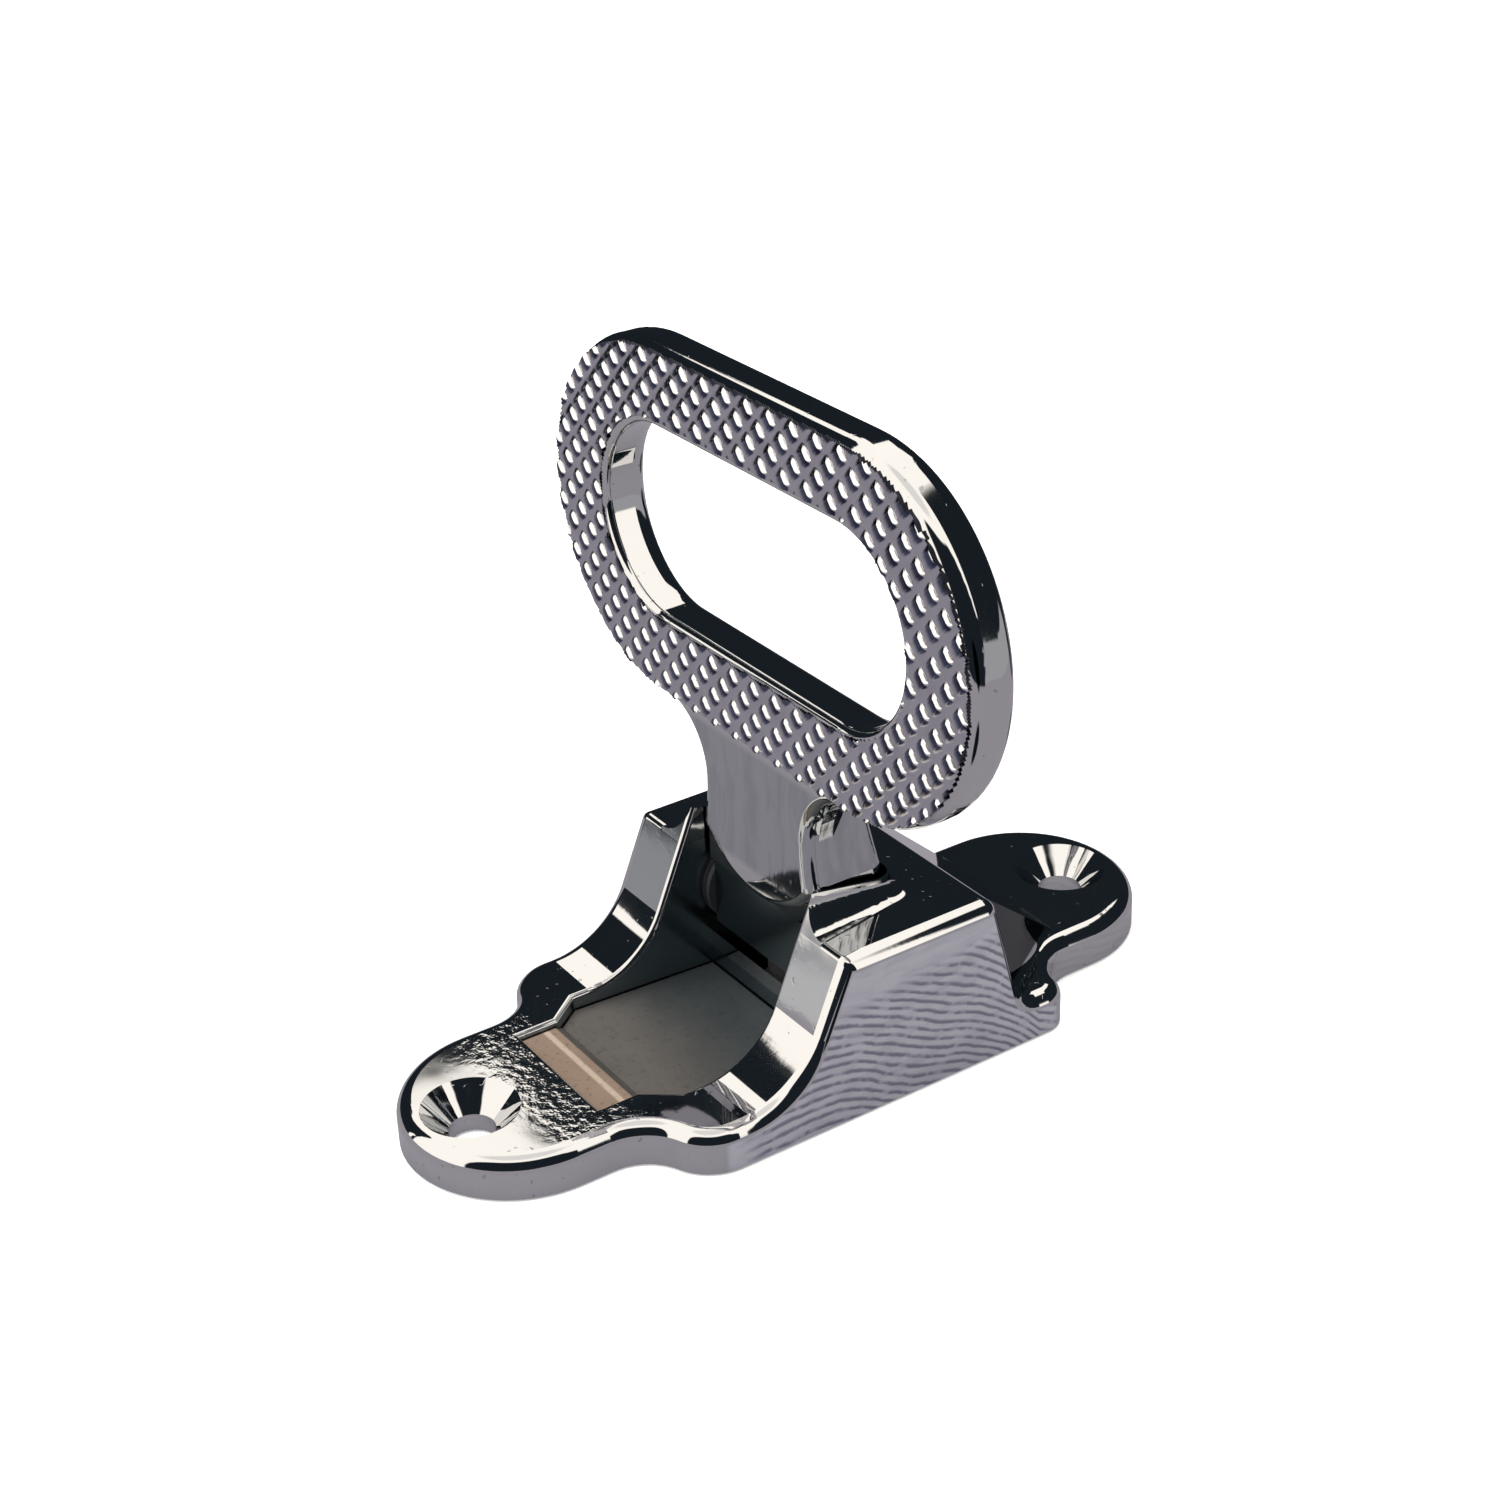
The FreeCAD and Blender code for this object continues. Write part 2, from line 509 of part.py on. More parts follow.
def on_opening(edge):
    """True for an edge of the ring's opening, which is well inside the ring's outline."""
    middle = edge.valueAt((edge.FirstParameter + edge.LastParameter) / 2)
    reach = max(abs(middle.y) - (OPENING_HALF_WIDTH - OPENING_HALF_HEIGHT), 0)
    return math.hypot(reach, middle.z - OPENING_CENTRE_Z) < OPENING_HALF_HEIGHT + 0.1


def ring_lever():
    """Ring, neck and hub: one casting."""
    ring = stadium(RING_HALF_WIDTH, RING_HALF_HEIGHT, RING_CENTRE_Z, RING_FRONT_X, RING_BACK_X)
    ring = ring.fuse(web()).removeSplitter()
    ring = ring.cut(stadium(OPENING_HALF_WIDTH, OPENING_HALF_HEIGHT, OPENING_CENTRE_Z,
                            RING_FRONT_X - 1, RING_BACK_X + 1))
    rims = ((RING_BACK_X, RING_BACK_FILLET, RING_BACK_FILLET),
            (RING_FRONT_X, RING_FRONT_FILLET, OPENING_FRONT_FILLET))
    for x, outer_radius, opening_radius in rims:
        for radius, of_opening in ((outer_radius, False), (opening_radius, True)):
            rounded = [edge for edge in edges_at_x(ring, x) if edge.CenterOfMass.z > PIVOT.z + 0.1
                       and on_opening(edge) == of_opening]
            ring = ring.makeFillet(radius, rounded)
    lever = ring.fuse(spine()).removeSplitter().cut(lip_relief())
    for side in (-1, 1):
        ends = sorted((side * HUB_HALF, side * 20))
        lever = lever.cut(cylinder_y(FLANGE_DIA / 2 + HUB_CLEARANCE, ends[0], ends[1]))
    hub = cylinder_y(HUB_RADIUS, -HUB_HALF, HUB_HALF)
    hub = hub.cut(box(NECK_CORE_FRONT_X - 5, NECK_CORE_FRONT_X, -20, 20, 0, 20))
    lever = lever.fuse(hub).removeSplitter()
    return lever.cut(cylinder_y(BUSH_DIA / 2, -HUB_HALF - 1, HUB_HALF + 1))


def flanged_bush(side):
    """Bronze bush in one end of the hub, its flange outward."""
    inner = PIN_DIA / 2 + RUNNING_GAP
    start, face, end = HUB_HALF - BUSH_LENGTH, HUB_HALF, HUB_HALF + FLANGE_THICKNESS
    spans = ((BUSH_DIA / 2, start, face), (FLANGE_DIA / 2, face, end))
    rings = [tube_y(radius, inner, min(side * a, side * b), max(side * a, side * b))
             for radius, a, b in spans]
    return rings[0].fuse(rings[1]).removeSplitter()


def thrust_washer(side):
    inner = PIN_DIA / 2 + 0.1
    ends = sorted((side * (SLOT_HALF - WASHER_THICKNESS), side * SLOT_HALF))
    return tube_y(FLANGE_DIA / 2, inner, ends[0], ends[1])


def cover():
    """The sheet that closes the underside."""
    shape = cover_outline(0, COVER_THICKNESS)
    head = COVER_SCREW_HEAD / 2
    for x, y in cover_screw_places():
        shape = shape.cut(Part.makeCone(head, COVER_SCREW_DIA / 2, head - COVER_SCREW_DIA / 2,
                                        Vec(x, y, 0), Z_AXIS))
        shape = shape.cut(cylinder_z(COVER_SCREW_DIA / 2, x, y, 0, COVER_THICKNESS))
    return shape


def cover_screw(x, y):
    """Small countersunk screw, driven upward into a cheek."""
    head = COVER_SCREW_HEAD / 2
    shape = Part.makeCone(head, COVER_SCREW_DIA / 2, head - COVER_SCREW_DIA / 2, Vec(x, y, 0), Z_AXIS)
    shape = shape.fuse(cylinder_z(COVER_SCREW_DIA / 2, x, y, 0.1, COVER_SCREW_LENGTH)).removeSplitter()
    for half_x, half_y in ((head * 0.62, 0.2), (0.2, head * 0.62)):
        shape = shape.cut(box(x - half_x, x + half_x, y - half_y, y + half_y, -1, 0.6))
    return shape


def leaf():
    """Bronze leaf along the pocket's floor, with a raised tab at its front end."""
    half = SLOT_HALF - LEAF_GAP
    tab_low, tab_rear = LEDGE_Z, LEDGE_REAR_X - 0.5
    rear_low = COVER_THICKNESS + 0.05
    front_low = rear_low + 0.7
    outline = [(POCKET_FRONT_X + LEAF_GAP, tab_low), (POCKET_FRONT_X + LEAF_GAP, LEAF_TAB_TOP_Z),
               (tab_rear, LEAF_TAB_TOP_Z), (LEDGE_REAR_X + 0.45, front_low + LEAF_THICKNESS),
               (WEB_FRONT_X - LEAF_GAP, rear_low + LEAF_THICKNESS),
               (WEB_FRONT_X - LEAF_GAP, rear_low), (LEDGE_REAR_X + LEAF_GAP, front_low),
               (LEDGE_REAR_X + LEAF_GAP, tab_low)]
    points = [Vec(x, -half, z) for x, z in outline]
    strip = Part.Face(Part.makePolygon(points + [points[0]])).extrude(Y_AXIS * 2 * half)
    return strip.common(pocket_plan(LEAF_GAP))


def friction_pad():
    """Nylon pad that rubs on the underside of the hub."""
    body = cylinder_z(PAD_DIA / 2, PAD_X, 0, PAD_BOTTOM_Z, PIVOT.z)
    return body.cut(cylinder_y(HUB_RADIUS + RUNNING_GAP, -10, 10))


def pressure_spring():
    """Coil spring between the base cover and the pad."""
    bottom, top = COVER_THICKNESS + SPRING_WIRE / 2, PAD_BOTTOM_Z - SPRING_WIRE / 2
    radius = (SPRING_DIA - SPRING_WIRE) / 2
    helix = Part.makeHelix((top - bottom) / SPRING_TURNS, top - bottom, radius)
    start = helix.Edges[0].valueAt(helix.Edges[0].FirstParameter)
    section = Part.Wire(Part.makeCircle(SPRING_WIRE / 2, start, Y_AXIS))
    coil = helix.makePipeShell([section], True, True)
    coil.translate(Vec(PAD_X, 0, bottom))
    return coil


def grub_screw():
    """Socket grub screw under the near cheek that locks the pin."""
    top = PIVOT.z - PIN_DIA / 2
    shape = cylinder_z(GRUB_DIA / 2, PIVOT.x, GRUB_Y, top - GRUB_LENGTH, top)
    socket = [Vec(PIVOT.x + 0.8 * math.cos(math.radians(60 * i)),
                  GRUB_Y + 0.8 * math.sin(math.radians(60 * i)), top - GRUB_LENGTH) for i in range(6)]
    return shape.cut(Part.Face(Part.makePolygon(socket + [socket[0]])).extrude(Z_AXIS * 1.6))


def pin():
    shape = cylinder_y(PIN_DIA / 2, PIN_NEAR_Y, PIN_FAR_Y)
    ends = [edge for edge in shape.Edges if len(edge.Vertexes) == 1]
    return shape.makeChamfer(0.3, ends)


def pin_cap():
    """Chromed plug that closes the pin's bore in the far cheek."""
    return cylinder_y(CAP_DIA / 2, HALF_WIDTH - CAP_DEPTH, HALF_WIDTH - 0.1)


def build():
    os.makedirs("parts", exist_ok=True)
    save(housing(), "housing_casting")
    save(ring_lever(), "ring_lever")
    save(pin(), "pivot_pin")
    save(pin_cap(), "pin_bore_cap")
    save(flanged_bush(-1), "near_bush")
    save(flanged_bush(1), "far_bush")
    save(thrust_washer(-1), "near_thrust_washer")
    save(thrust_washer(1), "far_thrust_washer")
    save(grub_screw(), "pin_grub_screw")
    save(friction_pad(), "friction_pad")
    save(pressure_spring(), "pressure_spring")
    save(leaf(), "pocket_leaf")
    save(cover(), "base_cover")
    for index, (x, y) in enumerate(cover_screw_places(), 1):
        save(cover_screw(x, y), "cover_screw_%d" % index)


build()
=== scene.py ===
"""Looks of the folding ring handle: mirror chrome, satin flanks, the knurled grip and a plain studio."""
import math

import bmesh
import bpy
from mathutils import Matrix, Vector


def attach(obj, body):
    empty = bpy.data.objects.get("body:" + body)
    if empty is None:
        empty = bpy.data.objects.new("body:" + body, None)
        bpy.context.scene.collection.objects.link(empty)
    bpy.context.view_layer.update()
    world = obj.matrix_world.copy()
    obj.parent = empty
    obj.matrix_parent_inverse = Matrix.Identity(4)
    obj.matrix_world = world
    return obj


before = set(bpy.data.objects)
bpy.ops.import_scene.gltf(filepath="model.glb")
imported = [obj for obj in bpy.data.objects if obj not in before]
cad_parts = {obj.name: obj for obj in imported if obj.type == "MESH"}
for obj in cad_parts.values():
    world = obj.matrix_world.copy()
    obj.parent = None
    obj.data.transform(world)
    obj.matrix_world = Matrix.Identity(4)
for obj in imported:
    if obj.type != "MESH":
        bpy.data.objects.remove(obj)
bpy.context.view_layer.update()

MM = 0.001

# Camera, as a photographer stood: degrees and millimetres
VIEW_AZIMUTH, VIEW_ELEVATION, VIEW_ROLL = -33.22, 28.36, -2.17
VIEW_TARGET = Vector((3.77, 9.69, 20.0))
VIEW_DISTANCE = 220.1
FOCAL_SHARE = 1.7427           # focal length over the sensor's width
SENSOR_WIDTH = 36.0

# Where the housing's finish changes, in millimetres: where each finish starts, and where it is full
WALL_Y = (14.95, 15.15)                            # linished side walls
EAR_RIM_Z, EAR_RIM_SATIN = (2.5, 2.3), 0.10        # the ears' rims are hardly linished
SLOT_Y, SLOT_X = (8.46, 8.41), (5.5, 5.2)          # bare slot and pocket, seen from above, darkened with painted shade
CHANNEL_X, CHANNEL_Z = (-22.1, -21.9), (3.45, 3.25)
POCKET_X, POCKET_Z = (-15.8, -15.5), (14.4, 13.6)
PLATE_TOP_Z = (3.8, 3.7)
GRAIN_FRONT_X, GRAIN_REAR_X, GRAIN_SOFT = -26.5, -19.0, 1.5        # cast grain on the front ear

# The same for the lever
NECK_Y, NECK_TOP_Z, NECK_FOOT_Z = (13.2, 12.4), (26.4, 25.6), (14.6, 15.6)         # brushed neck
PIN_X, PIN_Z, HUB_RADIUS = 1.4, 9.2, (4.5, 4.25)   # the pin's axis, and the hub round it, bare and darkened with painted shade
EDGE_FRONT_X, EDGE_REAR_X, EDGE_Z = (-1.7, -1.5), (-1.2, -1.35), (16.9, 16.6)      # foot's bare edges

# Facets above the plate darkened near-black with painted shade, such as the housing's rear corners
SHADED_FACET_Z = (4.4, 4.7)
SHADED_FACET_WAY = (0.53, 0.83, 0.17)                      # way that they face, mirrored to any side

# Pocket leaf, in millimetres
LEAF_STEP_X, LEAF_STEP_SOFT = -18.7, 0.1           # where it steps down from its front tab
LEAF_HIGHLIGHT_STRIPE = (-1.2, -0.7, 0.12)                   # painted highlight: a bright stripe on the tab, ahead of the step
LEAF_SHADE = (3.0, 14.0)                           # behind the step, where painted shade turns it teal

# Wavy lines painted on the linished walls as their reflection, in millimetres
RIPPLE_STEP = 0.88
RIPPLE_SLANT = 0.38            # how far the lines fall for each unit towards the rear
RIPPLE_FRONT_X, RIPPLE_FRONT_DROOP = -2.0, 0.022   # ahead of here they curve down to the front
RIPPLE_REAR_X, RIPPLE_REAR_DROOP = 6.0, 0.042      # and behind here down to the rear
RIPPLE_REAR_REACH = 9.0
RIPPLE_BEND, RIPPLE_BEND_SIZE = 3.5, 16.0          # slow bend, and the size of its waves
RIPPLE_WOBBLE, RIPPLE_WOBBLE_SIZE = 0.55, 2.2
RIPPLE_ENDS_X = (-15.0, -12.0)
RIPPLE_TOP, RIPPLE_TOP_SLOPE, RIPPLE_TOP_SOFT = 10.5, 0.12, 0.8    # height at the middle, and its rise
RIPPLE_REFLECTION_TONE = (0.34, 0.335, 0.42, 1)                    # colour painted along them, as their reflection

# Ring's front face, in millimetres
RING_FRONT_X = -2.6
RING_HALF_WIDTH, RING_HALF_HEIGHT, RING_CENTRE_Z = 28.2, 15.35, 41.35
OPENING_HALF_WIDTH, OPENING_HALF_HEIGHT, OPENING_CENTRE_Z = 20.1, 8.15, 41.7

# Knurl on it: rows of saw-toothed studs between flat-bottomed grooves
STUD_STEP_A, STUD_STEP_B = (1.40, -1.38), (-1.52, -1.38)      # y, z from stud to stud, and row to row
STUD_ORIGIN = (-0.17, 41.20)
STUD_HEIGHT = 0.24
STUD_CELLS = 10                # mesh cells across one stud
STUD_CREST = 0.14              # where the crest stands, as a share of the step along the row
STUD_BOW = -0.03               # how far the crest bows, as a share of the same step
GROOVE_SHARE = 0.14            # half width of the groove's bottom, as a share of the step to the next row
GROOVE_WALL = 0.12             # width of the groove's side, as a share of the same step
GROOVE_RISE = 0.04             # of the groove's bottom over the ring's face
GRIP_INSET_OUTER, GRIP_INSET_OPENING = 0.45, 0.5
GRIP_BACK_X = -2.05
ROWS_EACH_WAY = 22             # enough rows to cover the ring
WALL_SLOT = 1                  # the grip's second material is for the step round it

# Knurl's tones: painted highlight on the flanks that face the wheel, painted shade on the crests and
# steep sides, grey elsewhere
HIGHLIGHT_WAY = (0.0, -0.672, 0.740)                  # way that the short flanks face, in the ring's plane
HIGHLIGHT_FROM = (0.12, 0.24)
LEVEL_FROM = (0.93, 0.985)                         # share of a facet's normal that points forward
CREST_FROM = (0.72, 0.22)                          # share of the studs' height


class Graph:
    """Short way to write a node tree: values are set on sockets, and sockets are linked."""

    def __init__(self, tree):
        self.tree = tree
        tree.nodes.clear()

    def add(self, kind, settings=None, **inputs):
        """New node; an input is given by its name, or as i0, i1 and so on by its place."""
        node = self.tree.nodes.new(kind)
        for name, value in (settings or {}).items():
            setattr(node, name, value)
        for name, value in inputs.items():
            by_place = name[0] == "i" and name[1:].isdigit()
            key = int(name[1:]) if by_place else name.replace("_", " ")
            self.put(node.inputs[key], value)
        return node

    def put(self, socket, value):
        if isinstance(value, bpy.types.NodeSocket):
            self.tree.links.new(value, socket)
        else:
            socket.default_value = value

    def math(self, operation, a, b=0.0, c=0.0):
        node = self.add("ShaderNodeMath", {"operation": operation}, i0=a)
        if len(node.inputs) > 1:
            self.put(node.inputs[1], b)
        if len(node.inputs) > 2:
            self.put(node.inputs[2], c)
        return node.outputs[0]

    def ramp(self, value, low, high, to_low=0.0, to_high=1.0):
        """Smooth step from low to high."""
        node = self.add("ShaderNodeMapRange", {"interpolation_type": "SMOOTHSTEP"}, i0=value,
                        i1=low, i2=high, i3=to_low, i4=to_high)
        return node.outputs[0]

    def fade(self, value, ends_mm):
        """Smooth step from the first place to the second, in millimetres."""
        return self.ramp(value, ends_mm[0] * MM, ends_mm[1] * MM)

    def band(self, value, low, high, soft):
        """1 between low and high, falling to 0 over soft on each side."""
        return self.math("MULTIPLY", self.ramp(value, low - soft, low + soft),
                         self.ramp(value, high - soft, high + soft, 1.0, 0.0))

    def mix(self, factor, a, b):
        node = self.add("ShaderNodeMix", {"data_type": "RGBA"})
        self.put(node.inputs[0], factor)
        self.put(node.inputs[6], a)
        self.put(node.inputs[7], b)
        return node.outputs[2]

    def blend(self, factor, a, b):
        node = self.add("ShaderNodeMix", {"data_type": "FLOAT"})
        self.put(node.inputs[0], factor)
        self.put(node.inputs[2], a)
        self.put(node.inputs[3], b)
        return node.outputs[0]

    def noise(self, vector, size_mm, detail=2.0, roughness=0.5):
        """Noise from 0 to 1 with features of about size_mm."""
        node = self.add("ShaderNodeTexNoise", Vector=vector, Scale=1000.0 / size_mm, Detail=detail,
                        Roughness=roughness)
        return node.outputs[0]

    def dot(self, a, b):
        return self.add("ShaderNodeVectorMath", {"operation": "DOT_PRODUCT"}, i0=a, i1=b).outputs["Value"]

    def bump(self, height, distance_mm, normal=None):
        node = self.add("ShaderNodeBump", Height=height, Strength=1.0, Distance=distance_mm * MM)
        if normal is not None:
            self.put(node.inputs["Normal"], normal)
        return node.outputs[0]


def grey(value, warm=0.0):
    return (value * (1 + warm), value, value * (1 - warm), 1.0)


def new_material(name):
    material = bpy.data.materials.new(name)
    material.use_nodes = True
    graph = Graph(material.node_tree)
    shader = graph.add("ShaderNodeBsdfPrincipled")
    output = graph.add("ShaderNodeOutputMaterial", Surface=shader.outputs[0])
    output.name = "Material Output"
    place = graph.add("ShaderNodeTexCoord")
    return material, graph, shader, place


def ripple_lines(g, at):
    """Wavy lines that a worn linishing belt leaves, painted into the colour as their reflection: arched
    over a wall, and fading out near its top.
    """
    x, _, z = g.add("ShaderNodeSeparateXYZ", i0=at).outputs
    ahead = g.math("MAXIMUM", g.math("SUBTRACT", RIPPLE_FRONT_X * MM, x), 0.0)
    behind = g.math("MAXIMUM", g.math("SUBTRACT", x, RIPPLE_REAR_X * MM), 0.0)
    behind = g.math("MINIMUM", behind, RIPPLE_REAR_REACH * MM)
    droop = g.math("MULTIPLY", g.math("MULTIPLY", ahead, ahead), RIPPLE_FRONT_DROOP / MM)
    droop = g.math("MULTIPLY_ADD", g.math("MULTIPLY", behind, behind), RIPPLE_REAR_DROOP / MM, droop)
    bend = g.math("MULTIPLY_ADD", g.noise(at, RIPPLE_BEND_SIZE, 1.0), RIPPLE_BEND * MM, droop)
    wobble = g.math("MULTIPLY_ADD", g.noise(at, RIPPLE_WOBBLE_SIZE, 2.0), RIPPLE_WOBBLE * MM, bend)
    slant = g.math("MULTIPLY_ADD", x, RIPPLE_SLANT, g.math("ADD", z, wobble))
    phase = g.math("FRACT", g.math("DIVIDE", slant, RIPPLE_STEP * MM))
    line = g.math("MULTIPLY", g.ramp(phase, 0.0, 0.25), g.ramp(phase, 0.70, 0.35))
    line = g.math("MULTIPLY", line, g.fade(x, RIPPLE_ENDS_X))
    broken = g.math("MULTIPLY_ADD", g.ramp(g.noise(at, 1.4, 2.0), 0.34, 0.50), 0.6, 0.4)
    ceiling = g.math("MULTIPLY_ADD", x, RIPPLE_TOP_SLOPE, RIPPLE_TOP * MM)
    below = g.fade(g.math("SUBTRACT", z, ceiling), (RIPPLE_TOP_SOFT, -RIPPLE_TOP_SOFT))
    return g.math("MULTIPLY", g.math("MULTIPLY", line, broken), below)


def painted_shade_facets(g, at, normal):
    """Painted shade, where a facet faces the given way, mirrored to any side."""
    unsigned = g.add("ShaderNodeVectorMath", {"operation": "ABSOLUTE"}, i0=normal).outputs[0]
    z = g.add("ShaderNodeSeparateXYZ", i0=at).outputs[2]
    return g.math("MULTIPLY", g.ramp(g.dot(unsigned, SHADED_FACET_WAY), 0.992, 0.996), g.fade(z, SHADED_FACET_Z))


def chrome(name, zones, satin_size, satin_roughness, satin_tone, ripple_reflection_share, line_depth):
    """Mirror plating over a polished casting, with linished walls, bare metal in the recesses, painted
    shade in the pocket, over the hub and on some facets, and wavy lines painted as reflection.

    zones takes the graph, the object coordinates and the normal. It returns where the surface is
    satin, where it is bare metal with painted shade in the pocket and over the hub, and how coarse
    the casting's grain is. satin_size stretches the satin's brush marks, and the wavy lines' share
    is how strong their painted reflection is.
    """
    material, g, shader, place = new_material(name)
    at, normal = place.outputs["Object"], place.outputs["Normal"]
    satin, bare_and_shaded, rough_grain = zones(g, at, normal)

    stretched = g.add("ShaderNodeMapping", Vector=at, Scale=satin_size).outputs[0]
    drift = g.add("ShaderNodeTexNoise", Vector=at, Scale=110.0, Detail=1.0).outputs[1]
    wander = g.add("ShaderNodeVectorMath", {"operation": "MULTIPLY_ADD"}, i0=drift,
                   i1=(0.004, 0.004, 0.004), i2=stretched).outputs[0]
    lines = g.ramp(g.noise(wander, 1.0, 2.0, 0.55), 0.30, 0.62)
    reflection_ripples = ripple_lines(g, at)
    hairs = g.noise(stretched, 0.25, 2.0, 0.7)

    waves = g.noise(at, 4.5, 1.0)
    peel = g.ramp(g.noise(at, 0.85, 2.0, 0.55), 0.32, 0.68)
    patches = g.ramp(g.noise(at, 5.0, 2.0), 0.42, 0.62)
    pits = g.ramp(g.noise(at, 0.50, 0.0), 0.215, 0.17)

    g.put(shader.inputs["Metallic"], 1.0)
    cloud = g.noise(at, 9.0, 3.0)
    bright = g.mix(cloud, grey(0.66, -0.012), grey(0.72, 0.006))
    pitted = g.mix(g.math("MULTIPLY", pits, 0.5), bright, grey(0.30))
    brushed = g.mix(lines, grey(satin_tone * 0.87, -0.03), grey(satin_tone, -0.03))
    # painted reflection: wavy darker lines over the linished walls
    brushed = g.mix(g.math("MULTIPLY", reflection_ripples, ripple_reflection_share), brushed, RIPPLE_REFLECTION_TONE)
    plated = g.mix(satin, pitted, brushed)
    # bare metal, darkened with painted shade in the pocket and over the hub
    bare_and_shade_tone = g.mix(cloud, (0.24, 0.30, 0.335, 1), (0.34, 0.39, 0.42, 1))
    # painted shade: near-black on those facets
    plated = g.mix(painted_shade_facets(g, at, normal), plated, (0.012, 0.016, 0.019, 1))
    g.put(shader.inputs["Base Color"], g.mix(bare_and_shaded, plated, bare_and_shade_tone))
    mirror_rough = g.math("MULTIPLY_ADD", cloud, 0.03, 0.02)
    satin_rough = g.math("MULTIPLY_ADD", hairs, satin_roughness * 0.7, satin_roughness)
    plated_rough = g.blend(satin, mirror_rough, satin_rough)
    bare_rough = g.math("MULTIPLY_ADD", cloud, 0.10, 0.14)
    g.put(shader.inputs["Roughness"], g.blend(bare_and_shaded, plated_rough, bare_rough))

    wavy = g.bump(waves, 0.010)
    grain = g.math("MULTIPLY", peel, g.math("MULTIPLY_ADD", patches, 0.12, rough_grain))
    grainy = g.bump(g.math("MULTIPLY_ADD", pits, -0.4, grain), 0.004, wavy)
    marks = g.math("MULTIPLY", g.math("MULTIPLY_ADD", hairs, 0.25, lines), satin)
    g.put(shader.inputs["Normal"], g.bump(marks, line_depth, grainy))
    return material


def housing_zones(g, at, normal):
    """Upright outside walls are linished; the pocket and the slot have no plating, and are darkened with
    painted shade.
    """
    x, y, z = g.add("ShaderNodeSeparateXYZ", i0=at).outputs
    _, facing_y, facing_z = g.add("ShaderNodeSeparateXYZ", i0=normal).outputs
    aside = g.math("ABSOLUTE", y)
    rim = g.math("MULTIPLY", g.fade(z, EAR_RIM_Z), EAR_RIM_SATIN)
    upright = g.ramp(g.math("ABSOLUTE", facing_z), 0.25, 0.12)
    satin = g.math("MULTIPLY", g.math("MAXIMUM", g.fade(aside, WALL_Y), rim), upright)

    inside = g.math("MULTIPLY", g.fade(aside, SLOT_Y), g.fade(x, SLOT_X))
    channel = g.math("MULTIPLY", g.fade(x, CHANNEL_X), g.fade(z, CHANNEL_Z))
    pocket = g.math("MULTIPLY", g.fade(z, POCKET_Z), g.fade(x, POCKET_X))
    # painted shade on the pocket's walls
    shaded_pocket_wall = g.math("MULTIPLY", pocket, g.ramp(g.math("ABSOLUTE", facing_y), 0.985, 0.995))
    bare_and_shaded = g.math("MULTIPLY", inside, g.math("MAXIMUM", shaded_pocket_wall, channel))

    level = g.math("MULTIPLY", g.ramp(facing_z, 0.997, 0.9995), g.fade(z, PLATE_TOP_Z))
    front = g.band(x, GRAIN_FRONT_X * MM, GRAIN_REAR_X * MM, GRAIN_SOFT * MM)
    grain = g.math("MULTIPLY", g.math("MULTIPLY", level, front), 1.1)
    return satin, bare_and_shaded, grain


def lever_zones(g, at, normal):
    """The neck is brushed below the ring and above its foot; hub and foot's edges have no plating, and
    the hub is darkened with painted shade.
    """
    x, y, z = g.add("ShaderNodeSeparateXYZ", i0=at).outputs
    across = g.fade(g.math("ABSOLUTE", y), NECK_Y)
    along = g.math("MULTIPLY", g.fade(z, NECK_TOP_Z), g.fade(z, NECK_FOOT_Z))
    satin = g.math("MULTIPLY", across, along)
    level_x = g.math("SUBTRACT", x, PIN_X * MM)
    level_z = g.math("SUBTRACT", z, PIN_Z * MM)
    squares = g.math("MULTIPLY_ADD", level_x, level_x, g.math("MULTIPLY", level_z, level_z))
    # painted shade over the hub
    shaded_hub = g.fade(g.math("SQRT", squares), HUB_RADIUS)
    edges = g.math("MULTIPLY", g.fade(x, EDGE_FRONT_X), g.fade(z, EDGE_Z))
    edges = g.math("MULTIPLY", edges, g.fade(x, EDGE_REAR_X))
    return satin, g.math("MAXIMUM", shaded_hub, edges), 0.0


def knurl_chrome():
    """Plating with a painted highlight on the flanks that face the wheel, and painted shade near the
    crests and on the steep sides.
    """
    material, g, shader, place = new_material("knurl_chrome")
    at, normal = place.outputs["Object"], place.outputs["Normal"]
    cloud = g.noise(at, 2.5, 3.0)
    painted_highlight = g.ramp(g.dot(normal, HIGHLIGHT_WAY), *HIGHLIGHT_FROM)
    level = g.ramp(g.dot(normal, (-1.0, 0.0, 0.0)), *LEVEL_FROM)
    foot_x = RING_FRONT_X - GROOVE_RISE
    ahead = g.add("ShaderNodeSeparateXYZ", i0=at).outputs[0]
    low = g.fade(ahead, [foot_x - share * STUD_HEIGHT for share in CREST_FROM])
    # painted shade: navy to near-black on the crests and steep sides
    painted_shade = g.mix(g.ramp(cloud, 0.35, 0.65), (0.010, 0.012, 0.05, 1), (0.06, 0.075, 0.15, 1))
    groove = g.mix(cloud, (0.47, 0.46, 0.51, 1), (0.66, 0.65, 0.70, 1))
    colour = g.mix(g.math("MULTIPLY", level, low), painted_shade, groove)
    g.put(shader.inputs["Metallic"], 1.0)
    # painted highlight: near-white on the short flanks
    g.put(shader.inputs["Base Color"], g.mix(painted_highlight, colour, grey(0.92, 0.01)))
    g.put(shader.inputs["Roughness"], g.math("MULTIPLY_ADD", cloud, 0.12, 0.10))
    g.put(shader.inputs["Normal"], g.bump(g.noise(at, 0.3, 2.0), 0.004))
    return material


